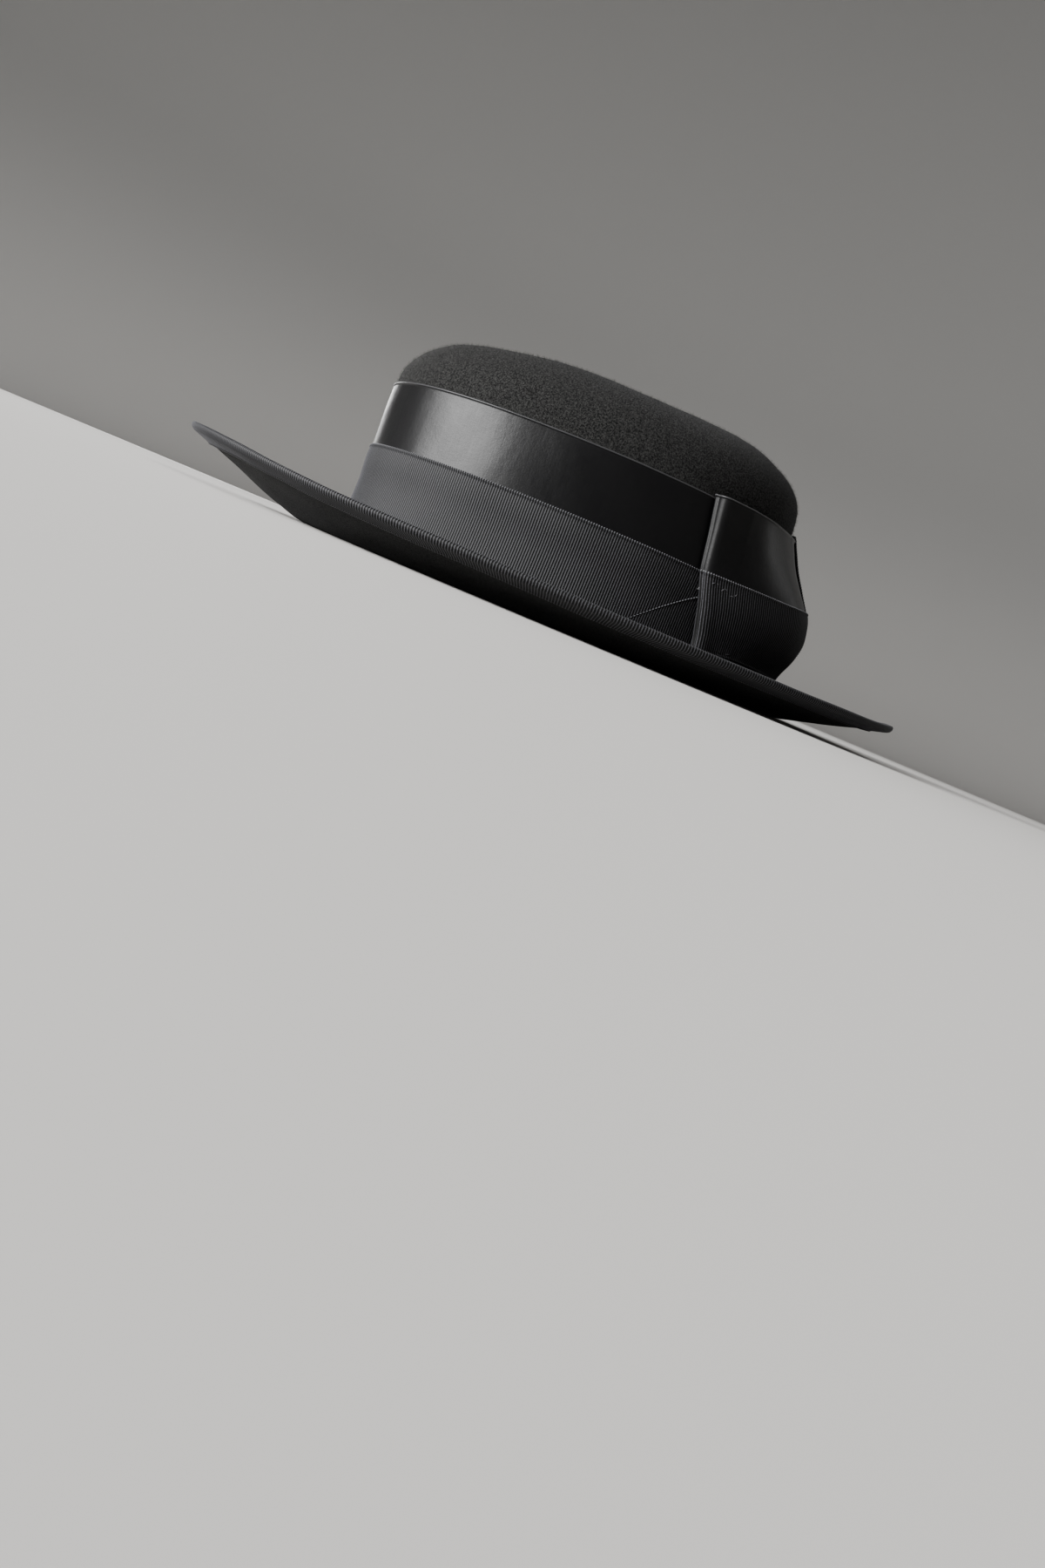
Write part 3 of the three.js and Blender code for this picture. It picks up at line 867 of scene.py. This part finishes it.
# %% Lay the tail under its loop
TAIL_WIDTH = RIBBON_WIDTH - 4 * MM
TAIL_TOP = 40 * MM
TAIL_SLANT_TURN = 36
TAIL_TIP_TURN = 61
TAIL_TIP_TOP = 12 * MM
TAIL_FOOT = 8.6 * MM
TAIL_LIFT = 2.05 * MM
SLANT_BEND = 1.35  # 1 is a straight slant, and more bends it down towards the tip
TIGHTER = 0.96  # the tail lies closer in than the band's girth that turns are measured on
tail_length = (TAIL_TIP_TURN - START_TURN) * TURN_LENGTH * TIGHTER


def under_loop(along, across):
    """The tail lies on the band. Its end is cut on the slant, so its upper edge runs down there."""
    turn = TAIL_TIP_TURN - (TAIL_TIP_TURN - START_TURN) * along / tail_length
    slant = np.clip((turn - TAIL_SLANT_TURN) / (TAIL_TIP_TURN - TAIL_SLANT_TURN), 0, 1)
    top = TAIL_TOP + (TAIL_TIP_TOP - TAIL_TOP) * slant**SLANT_BEND
    height = TAIL_FOOT + (top - TAIL_FOOT) * across / TAIL_WIDTH
    return at_back(turn, TAIL_LIFT, height)


tail_rows = ribbon_rows(GROSGRAIN_EDGE, TAIL_WIDTH, even(5))
tail = make_ribbon(
    "bow_tail_left_end", tail_length, tail_rows, under_loop, uneven=0.2 * MM, seed=14
)

# %% [markdown]
# ## The other half, and the knot
#
# The bow is the same on both sides, so the left half is copied and mirrored, with its faces
# turned back outwards. The knot is one more strip of grosgrain, wrapped round the middle.

# %% Mirror the left half of the bow


def mirror_copy(piece, name):
    """A copy on the other side of the hat, with a mesh of its own and its faces put right."""
    deselect_all()
    copy = copy_piece(piece, name)
    set_points(copy, points_of(piece) * np.array([-1, 1, 1]))
    in_edit_mode(copy, (bpy.ops.mesh.flip_normals, {}))
    return copy


left_half = satin_loop, grosgrain_loop, tail
right_half = [mirror_copy(piece, piece.name.replace("left", "right")) for piece in left_half]
print("mirrored:", [piece.name for piece in right_half])

# %% Wrap the knot
KNOT_HALF_TURN = 5.2
KNOT_FOOT, KNOT_TOP = 7.6 * MM, 80.5 * MM
KNOT_LIFT = 1.2 * MM
KNOT_INNER = 3 * MM
KNOT_ROUNDING = 0.9 * MM
KNOT_CLOSER = 0.9  # the share of the bow's stand-off that the tight knot keeps
KNOT_CORNER = 2.2 * MM
UNDER_POINTS, FACE_POINTS, OVER_POINTS = 12, 60, 8


def knot_line():
    """The wrap from the side: in under the bow, up its face, and in over its top."""
    heights = np.linspace(KNOT_FOOT, KNOT_TOP, FACE_POINTS)
    face = stand_off(heights) * KNOT_CLOSER + KNOT_LIFT
    ease = np.clip(np.minimum(heights - KNOT_FOOT, KNOT_TOP - heights) / KNOT_CORNER, 0, 1)
    face = face - KNOT_CORNER * (1 - np.sqrt(1 - (1 - ease) ** 2))
    under = np.linspace(KNOT_INNER, face[0], UNDER_POINTS)[:-1]
    over = np.linspace(face[-1], KNOT_INNER, OVER_POINTS)[1:]
    outs = np.concatenate([under, face, over])
    ups = np.concatenate([np.full(len(under), KNOT_FOOT), heights, np.full(len(over), KNOT_TOP)])
    return outs, ups


knot_outs, knot_ups = knot_line()
knot_tape = np.concatenate([[0], np.cumsum(np.hypot(np.diff(knot_outs), np.diff(knot_ups)))])
knot_length = knot_tape[-1]
KNOT_WIDTH = 2 * KNOT_HALF_TURN * TURN_LENGTH


def round_bow(along, across):
    share = 2 * across / KNOT_WIDTH - 1
    out = np.interp(along, knot_tape, knot_outs) - KNOT_ROUNDING * share**2
    height = np.interp(along, knot_tape, knot_ups)
    return at_back(share * KNOT_HALF_TURN, out, height)


knot_rows = ribbon_rows(GROSGRAIN_EDGE, KNOT_WIDTH, even(6))
knot = make_ribbon(
    "bow_knot_wrap", knot_length, knot_rows, round_bow, uneven=0.3 * MM, seed=17, clear_ends=True
)

# %% [markdown]
# ## Finishes
#
# All three cloths are dyed black, and what tells them apart is how they take the light. Felt
# swallows it, apart from the nap, which glows a little where the surface turns away. Satin
# mirrors it softly, and smears it across its long floating threads. Grosgrain catches it on the
# top of every rib, where its colour is also painted lighter, with painted shade in its grooves.
# The woven edges of both ribbons are painted paler, partly as a painted highlight.

# %% Colour and node tools


def hex_colour(text):
    """An sRGB hex colour as the linear colour that a shader takes."""
    values = [int(text[place : place + 2], 16) / 255 for place in (1, 3, 5)]
    linear = [v / 12.92 if v <= 0.04045 else ((v + 0.055) / 1.055) ** 2.4 for v in values]
    return (*linear, 1)


def new_material(name):
    """An empty material, and the bench's add_node() made ready for its nodes."""
    material = bpy.data.materials.new(name)
    material.use_nodes = True
    material.node_tree.nodes.clear()
    return material, partial(add_node, material.node_tree)


def finish_material(material, surface):
    add_node(material.node_tree, "ShaderNodeOutputMaterial", links={"Surface": (surface, "BSDF")})
    print(material.name, "has", len(material.node_tree.nodes), "nodes")
    return material


def wear(piece, finish):
    piece.data.materials.clear()
    piece.data.materials.append(finish)


print("the darkest dye, linear:", [round(value, 4) for value in hex_colour("#010101")[:3]])

# %% Fur felt
NAP_FIBRE = 0.35 * MM
NAP_CLUMP = 0.75 * MM
BLOCK_MARK = 26 * MM


def fur_felt():
    """Rabbit fur felt, dyed black, brushed and sanded: matte, mottled by clumps of nap, with a
    soft glow at the edges where the fibres stand up against the light."""
    felt, add = new_material("brushed_fur_felt_black")
    place = add("ShaderNodeTexCoord")
    fibre, clump, mark = (
        add("ShaderNodeTexNoise", {"Scale": 1 / size, **settings}, {"Vector": (place, "Object")})
        for size, settings in (
            (NAP_FIBRE, {"Detail": 3, "Roughness": 0.65, "Distortion": 0.6}),
            (NAP_CLUMP, {"Detail": 4, "Roughness": 0.6}),
            (BLOCK_MARK, {"Detail": 2}),
        )
    )
    nap = add("ShaderNodeMath", {"operation": "MULTIPLY"}, {0: (fibre, "Fac"), 1: (clump, "Fac")})
    shade = add("ShaderNodeValToRGB", links={"Fac": (nap, "Value")})
    dark, light = shade.color_ramp.elements
    dark.position, dark.color = 0.19, hex_colour("#040404")
    light.position, light.color = 0.35, hex_colour("#2c2c2b")
    rough = add("ShaderNodeMapRange", {"To Min": 0.82, "To Max": 0.98}, {"Value": (mark, "Fac")})
    fine = add("ShaderNodeBump", {"Strength": 0.7, "Distance": 0.3 * MM}, {"Height": (fibre, "Fac")})
    coarse = add(
        "ShaderNodeBump",
        {"Strength": 0.5, "Distance": 0.25 * MM},
        {"Height": (clump, "Fac"), "Normal": (fine, "Normal")},
    )
    surface = add(
        "ShaderNodeBsdfPrincipled",
        {
            "Specular IOR Level": 0.1,
            "Sheen Weight": 0.2,
            "Sheen Roughness": 0.4,
            "Sheen Tint": hex_colour("#4c4c4e"),
        },
        {"Base Color": (shade, "Color"), "Roughness": (rough, "Result"), "Normal": (coarse, "Normal")},
    )
    return finish_material(felt, surface)


felt_finish = fur_felt()

# %% The woven edge of a ribbon, with a painted highlight


def edge_colour_and_highlight(add, width, colour, middle, share=None):
    """The firm woven edge of a ribbon in a paler colour, partly its own and partly a painted
    highlight, from the distance kept on the mesh, with the ribbon's shade on its middle. A share,
    such as the ribs', lets the edge come and go."""
    from_edge = add("ShaderNodeAttribute", {"attribute_name": "from_edge"})
    edge = add("ShaderNodeMath", {"operation": "LESS_THAN", 1: width}, {0: (from_edge, "Fac")})
    if share:
        edge = add("ShaderNodeMath", {"operation": "MULTIPLY"}, {0: (edge, "Value"), 1: share})
    colours = {"data_type": "RGBA", 7: hex_colour(colour)}
    return add("ShaderNodeMix", colours, {0: (edge, "Value"), 6: (middle, "Color")})


print("picots are kept on:", grosgrain_band.data.attributes["from_edge"].name)

# %% Satin
FLOAT_LENGTH = 5 * MM
FLOAT_SPACING = 0.3 * MM
PICK_SPACING = 0.8 * MM
PICK_RUN = 12 * MM
PUCKER = 7 * MM
SLUB = 0.9 * MM  # uneven yarns, which break a highlight into fine grain


def satin():
    """Polyester satin ribbon: smooth, with long warp floats along it. The floats smear a
    highlight across the ribbon, so a lamp shows as a soft upright patch."""
    cloth, add = new_material("satin_weave_black")
    place = add("ShaderNodeUVMap")
    lines = []
    for scale in ((1 / FLOAT_LENGTH, 1 / FLOAT_SPACING, 1), (1 / PICK_SPACING, 1 / PICK_RUN, 1)):
        drawn = add("ShaderNodeMapping", {"Scale": scale}, {"Vector": (place, "UV")})
        noise_links = {"Vector": (drawn, "Vector")}
        lines.append(add("ShaderNodeTexNoise", {"Scale": 1, "Detail": 2}, noise_links))
    float_lines, pick_lines = lines
    weave = add(
        "ShaderNodeMath", {"operation": "ADD"}, {0: (float_lines, "Fac"), 1: (pick_lines, "Fac")}
    )
    shade = add("ShaderNodeValToRGB", links={"Fac": (pick_lines, "Fac")})
    dark, light = shade.color_ramp.elements
    dark.color, light.color = hex_colour("#040405"), hex_colour("#080809")
    # The satin's woven edge is painted paler: partly a firmer edge thread, partly a painted highlight
    # where its bead catches the light.
    edged = edge_colour_and_highlight(add, 0.65 * MM, "#2e2e2f", shade)
    rough = add(
        "ShaderNodeMapRange",
        {"From Max": 2, "To Min": 0.32, "To Max": 0.5},
        {"Value": (weave, "Value")},
    )
    bump = add("ShaderNodeBump", {"Strength": 0.4, "Distance": 0.03 * MM}, {"Height": (weave, "Value")})
    for size, detail, strength, depth in ((PUCKER, 2, 0.5, 0.22 * MM), (SLUB, 1, 0.6, 0.045 * MM)):
        wave = add(
            "ShaderNodeTexNoise",
            {"Scale": 1 / size, "Detail": detail, "Roughness": 0.5},
            {"Vector": (place, "UV")},
        )
        bump = add(
            "ShaderNodeBump",
            {"Strength": strength, "Distance": depth},
            {"Height": (wave, "Fac"), "Normal": (bump, "Normal")},
        )
    lengthways = add("ShaderNodeTangent", {"direction_type": "UV_MAP"})
    surface = add(
        "ShaderNodeBsdfPrincipled",
        {"Specular IOR Level": 0.22, "Anisotropic": 0.55, "Anisotropic Rotation": 0.25},
        {
            "Base Color": (edged, 2),
            "Roughness": (rough, "Result"),
            "Normal": (bump, "Normal"),
            "Tangent": (lengthways, "Tangent"),
        },
    )
    return finish_material(cloth, surface)


satin_finish = satin()

# %% Grosgrain
WARP_SPACING = 0.35 * MM  # finer on a real ribbon, but drawn this coarse so that it shows


def grosgrain():
    """Grosgrain ribbon: the fine warp covers every rib, so a rib is nearly matte along its side and
    has a thin soft shine on its top. Its colour carries painted shade in the grooves and a painted
    highlight on the rib tops, over a random tone from the warp."""
    cloth, add = new_material("grosgrain_weave_black")
    place = add("ShaderNodeUVMap")
    threads = add(
        "ShaderNodeMapping",
        {"Scale": (1 / RIB_PITCH, 1 / WARP_SPACING, 1)},
        {"Vector": (place, "UV")},
    )
    warp = add("ShaderNodeTexNoise", {"Scale": 1, "Detail": 2}, {"Vector": (threads, "Vector")})
    split = add("ShaderNodeSeparateXYZ", links={"Vector": (place, "UV")})
    per_rib = {"operation": "MULTIPLY", 1: 2 * math.pi / RIB_PITCH}
    turn = add("ShaderNodeMath", per_rib, {0: (split, "X")})
    groove = add("ShaderNodeMath", {"operation": "COSINE"}, {0: (turn, "Value")})
    rib = add(
        "ShaderNodeMapRange",
        {"From Min": 1, "From Max": -1, "To Max": 0.75},
        {"Value": (groove, "Value")},
    )
    # The colour mixes a random warp tone with the rib's wave: painted shade in the grooves, a painted
    # highlight on the rib tops.
    warp_tone_and_rib_shade = add(
        "ShaderNodeMath",
        {"operation": "MULTIPLY_ADD", 1: 0.4},
        {0: (warp, "Fac"), 2: (rib, "Result")},
    )
    shade = add("ShaderNodeValToRGB", links={"Fac": (warp_tone_and_rib_shade, "Value")})
    dark, light = shade.color_ramp.elements
    dark.position, dark.color = 0.64, hex_colour("#010101")
    light.color = hex_colour("#3f3f42")
    # The picot loops are painted paler on each rib top: partly their own thread, partly a painted
    # highlight.
    edged = edge_colour_and_highlight(add, 0.5 * MM, "#606063", shade, share=(rib, "Result"))
    rough = add("ShaderNodeMapRange", {"To Min": 0.5, "To Max": 0.72}, {"Value": (warp, "Fac")})
    bump = add("ShaderNodeBump", {"Strength": 0.5, "Distance": 0.08 * MM}, {"Height": (warp, "Fac")})
    surface = add(
        "ShaderNodeBsdfPrincipled",
        {
            "Specular IOR Level": 0.16,
            "Sheen Weight": 0.06,
            "Sheen Roughness": 0.35,
            "Sheen Tint": hex_colour("#8a8a8e"),
        },
        {"Base Color": (edged, 2), "Roughness": (rough, "Result"), "Normal": (bump, "Normal")},
    )
    return finish_material(cloth, surface)


grosgrain_finish = grosgrain()

# %% Sewing thread


def sewing_thread():
    """Black polyester thread, painted paler than the ribbon: a painted sheen for the light
    that its twist scatters.
    """
    thread, add = new_material("sewing_thread_black")
    # The grey base colour is painted sheen on black thread.
    surface = add(
        "ShaderNodeBsdfPrincipled",
        {"Base Color": hex_colour("#3a3a3c"), "Roughness": 0.55, "Specular IOR Level": 0.4},
    )
    return finish_material(thread, surface)


thread_finish = sewing_thread()

# %% [markdown]
# ## Join every piece to the hat
#
# Each modelled piece rides on the hat's one body, stands in for its plain imported solid, and
# takes its finish from the record's material slot. Each ribbon's row also lists its width and the
# length that it was cut to, how it is held and what it rests on.

# %% Dress the hat
FINISHES = {"fur_felt": felt_finish, "satin_ribbon": satin_finish, "grosgrain_ribbon": grosgrain_finish}
Ribbon = namedtuple("Ribbon", "piece node slot width length held rests_on")
RIBBONS = [
    Ribbon(satin_band, "satin_band", "satin_ribbon", SATIN_WIDTH, satin_length, "stretched", felt_hat),
    Ribbon(
        grosgrain_band, "grosgrain_band", "grosgrain_ribbon",
        GROSGRAIN_WIDTH, satin_length, "stretched", felt_hat,
    ),
    Ribbon(
        binding, "brim_binding", "grosgrain_ribbon",
        binding_flat_width, binding_length, "folded", felt_hat,
    ),
    Ribbon(knot, "bow_knot", "grosgrain_ribbon", KNOT_WIDTH, knot_length, "folded", grosgrain_loop),
]
for side, (satin_part, grosgrain_part, tail_part) in zip(("left", "right"), (left_half, right_half)):
    RIBBONS += [
        Ribbon(
            satin_part, f"bow_loop_{side}_satin", "satin_ribbon",
            RIBBON_WIDTH, satin_loop_length, "folded", satin_band,
        ),
        Ribbon(
            grosgrain_part, f"bow_loop_{side}_grosgrain", "grosgrain_ribbon",
            GROSGRAIN_LOOP_WIDTH, grosgrain_loop_length, "folded", grosgrain_band,
        ),
        Ribbon(
            tail_part, f"bow_tail_{side}", "grosgrain_ribbon",
            TAIL_WIDTH, tail_length, "laid", grosgrain_band,
        ),
    ]


def join_to_hat(piece, slot, node=None):
    wear(piece, FINISHES[slot])
    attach(piece, "root")
    if node:
        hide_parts(node)


join_to_hat(felt_hat, "fur_felt", "felt_body")
for row in RIBBONS:
    join_to_hat(row.piece, row.slot, row.node)
join_to_hat(nap, "fur_felt")
wear(stitches, thread_finish)
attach(stitches, "root")
print("dressed:", len(RIBBONS) + 3, "pieces")

# %% [markdown]
# ## The studio
#
# A pale floor that curves up into a wall all round has no corner to catch the eye. The open top
# lets in an even sky. One large lamp in front and to the left gives the ribbons their shine, a
# small one fills in from the other side, and two weak ones behind, one high and one low, keep the
# back of the bow readable.

# %% Floor and wall in one sweep
FLOOR_RADIUS = 2.6
SWEEP_RADIUS = 1.4
WALL_TOP = 4.0
SWEEP_STEPS = 12
DEEP_GREY_FROM = 1.1  # the height, in metres, at which the paper has reached its grey
deselect_all()
bpy.ops.mesh.primitive_circle_add(vertices=96, radius=FLOOR_RADIUS, fill_type="NGON")
studio = bpy.context.object
studio.name = "studio_sweep"
bpy.ops.object.mode_set(mode="EDIT")
bpy.ops.mesh.select_mode(type="EDGE")
bpy.ops.mesh.select_all(action="SELECT")
radius_now, height_now = FLOOR_RADIUS, 0.0
for turn in np.radians(np.linspace(0, 90, SWEEP_STEPS + 1)[1:]):
    radius_next = FLOOR_RADIUS + SWEEP_RADIUS * math.sin(turn)
    height_next = SWEEP_RADIUS * (1 - math.cos(turn))
    up = (0, 0, height_next - height_now)
    grow = radius_next / radius_now
    bpy.ops.mesh.region_to_loop()
    bpy.ops.mesh.extrude_edges_move(TRANSFORM_OT_translate={"value": up})
    bpy.ops.transform.resize(value=(grow, grow, 1))
    radius_now, height_now = radius_next, height_next
bpy.ops.mesh.extrude_edges_move(TRANSFORM_OT_translate={"value": (0, 0, WALL_TOP - height_now)})
bpy.ops.mesh.select_all(action="SELECT")
bpy.ops.mesh.normals_make_consistent(inside=True)
bpy.ops.mesh.faces_shade_smooth()
bpy.ops.object.mode_set(mode="OBJECT")


def pale_paper():
    """Matte backdrop paper: pale on the floor, so that black cloth stands out on it, and deepening
    to grey up the wall, because shiny black ribbon shows whatever stands around it."""
    paper, add = new_material("pale_backdrop_paper")
    place = add("ShaderNodeTexCoord")
    split = add("ShaderNodeSeparateXYZ", links={"Vector": (place, "Object")})
    up = add(
        "ShaderNodeMapRange",
        {"interpolation_type": "SMOOTHSTEP", "From Min": 0.0, "From Max": DEEP_GREY_FROM},
        {"Value": (split, "Z")},
    )
    tone = add("ShaderNodeValToRGB", links={"Fac": (up, "Result")})
    floor_end, wall_end = tone.color_ramp.elements
    floor_end.color, wall_end.color = hex_colour("#b6b4b1"), hex_colour("#949391")
    surface = add(
        "ShaderNodeBsdfPrincipled",
        {"Roughness": 0.9, "Specular IOR Level": 0.1},
        {"Base Color": (tone, "Color")},
    )
    return finish_material(paper, surface)


studio.data.materials.append(pale_paper())
print("sweep, m:", FLOOR_RADIUS, "to", round(radius_now, 1), "wide,", WALL_TOP, "high")

# %% Sky and lamps
Lamp = namedtuple("Lamp", "name azimuth elevation distance width height watts")
LAMPS = [
    Lamp("front_softbox", -54, 17, 2.2, 1.5, 1.05, 220),
    Lamp("side_softbox", -146, 14, 2.0, 0.5, 0.6, 12),
    Lamp("top_softbox", 150, 62, 1.9, 1.4, 1.4, 14),
    Lamp("back_softbox", 120, 24, 2.0, 0.35, 0.8, 1.4),
]
SKY_STRENGTH = 0.14
middle = (cad_low + cad_high) / 2
for lamp in LAMPS:
    angle, rise = math.radians(lamp.azimuth), math.radians(lamp.elevation)
    level = math.cos(rise)
    towards = Vector((math.cos(angle) * level, math.sin(angle) * level, math.sin(rise)))
    light = bpy.data.lights.new(lamp.name, "AREA")
    light.shape = "RECTANGLE"
    light.size = lamp.width
    light.size_y = lamp.height
    light.energy = lamp.watts
    lit = bpy.data.objects.new(lamp.name, light)
    lit.location = middle + towards * lamp.distance
    lit.rotation_euler = towards.to_track_quat("Z", "Y").to_euler()
    lit.visible_camera = False
    bring_in(lit)

world = bpy.data.worlds.new("even_sky")
world.use_nodes = True
background = world.node_tree.nodes["Background"]
background.inputs["Color"].default_value = hex_colour("#e9ebee")
background.inputs["Strength"].default_value = SKY_STRENGTH
bpy.context.scene.world = world
print("lamps:", [lamp.name for lamp in LAMPS])

# %% [markdown]
# ## The camera
#
# The hat is seen from its left side, very low, as it would be on a stand a little above the
# eye. The camera is rolled, so that the hat tips back in the picture although it lies level.

# %% Place the camera
CAMERA_AT = Vector((515.35, 74.83, 4)) * MM
AIM = Vector((0, 27.62, -77.97)) * MM
ROLL = math.radians(22.66)
LENS = 24
LONG_SIDE = 36
camera_data = bpy.data.cameras.new("hat_camera")
camera_data.lens = LENS
camera_data.sensor_width = LONG_SIDE
camera_data.clip_start = MM
camera = bpy.data.objects.new("hat_camera", camera_data)
turned = (AIM - CAMERA_AT).to_track_quat("-Z", "Y").to_matrix().to_4x4()
camera.matrix_world = Matrix.Translation(CAMERA_AT) @ turned @ Matrix.Rotation(ROLL, 4, "Z")
bring_in(camera)
bpy.context.scene.camera = camera
print("camera above the floor, mm:", round(CAMERA_AT.z / MM))
